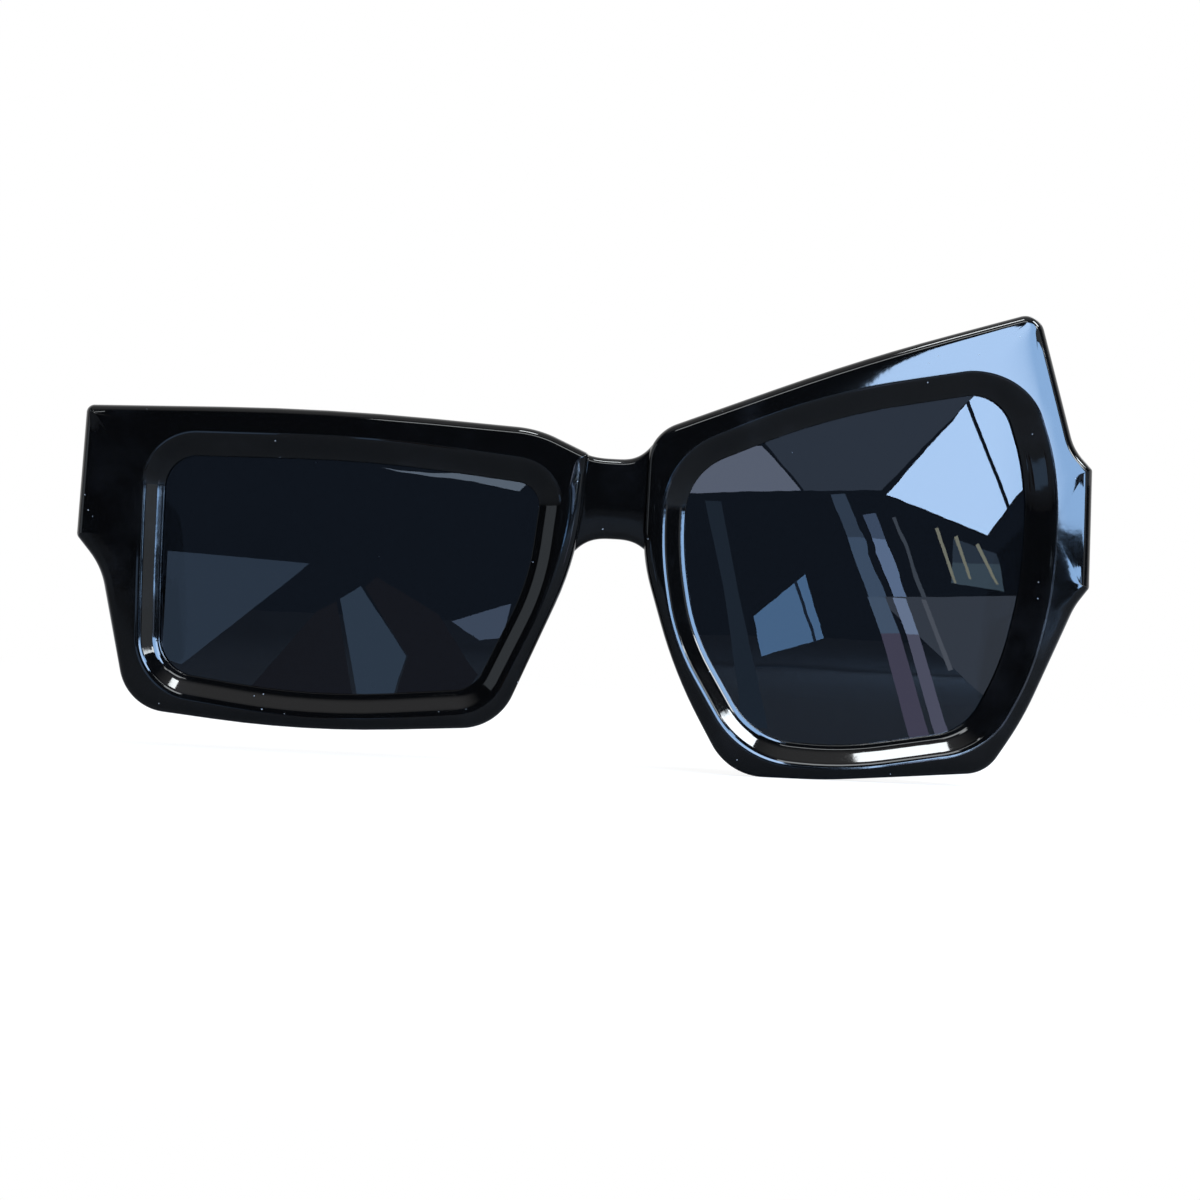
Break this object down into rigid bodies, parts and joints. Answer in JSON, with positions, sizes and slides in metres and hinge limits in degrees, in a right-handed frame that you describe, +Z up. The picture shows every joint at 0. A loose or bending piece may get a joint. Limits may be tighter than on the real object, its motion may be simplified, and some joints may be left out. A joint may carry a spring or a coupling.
{
  "type": "novelty sunglasses",
  "caption": "Asymmetric sunglasses with a near rectangular rim, a rim drawn up to a peak, a low bridge, tinted lenses and broad temples that fold on barrel hinges.",
  "frame": {"origin": "centre of the open glasses across and front to back, at the height of the lowest rim's foot", "axes": "+X towards the wearer's left, which is the viewer's right; +Y back along the open temples, so the front faces -Y; +Z up"},
  "size_m": [0.15, 0.1426, 0.0698],
  "materials": {
    "frame_plastic": "polished gloss black",
    "lens_tint": "polished, dark blue-grey tint",
    "steel": "satin"
  },
  "bodies": {
    "front": {"front_frame": "frame_plastic", "right_lens": "lens_tint", "left_lens": "lens_tint", "right_nose_pad": "frame_plastic", "left_nose_pad": "frame_plastic", "right_hinge_front_leaf": "steel", "left_hinge_front_leaf": "steel", "right_hinge_screw": "steel", "left_hinge_screw": "steel"},
    "right_temple_arm": {"right_temple": "frame_plastic", "right_temple_core_wire": "steel", "right_hinge_temple_leaf": "steel"},
    "left_temple_arm": {"left_temple": "frame_plastic", "left_temple_core_wire": "steel", "left_hinge_temple_leaf": "steel"}
  },
  "joints": [
    {"name": "right_temple_fold", "type": "hinge", "parent": "front", "child": "right_temple_arm", "pos_m": [-0.0687, -0.0583, 0.0368], "axis": [0, 0, -1], "range_deg": [0, 92]},
    {"name": "left_temple_fold", "type": "hinge", "parent": "front", "child": "left_temple_arm", "pos_m": [0.0687, -0.0583, 0.0368], "axis": [0, 0, 1], "range_deg": [0, 88]}
  ]
}
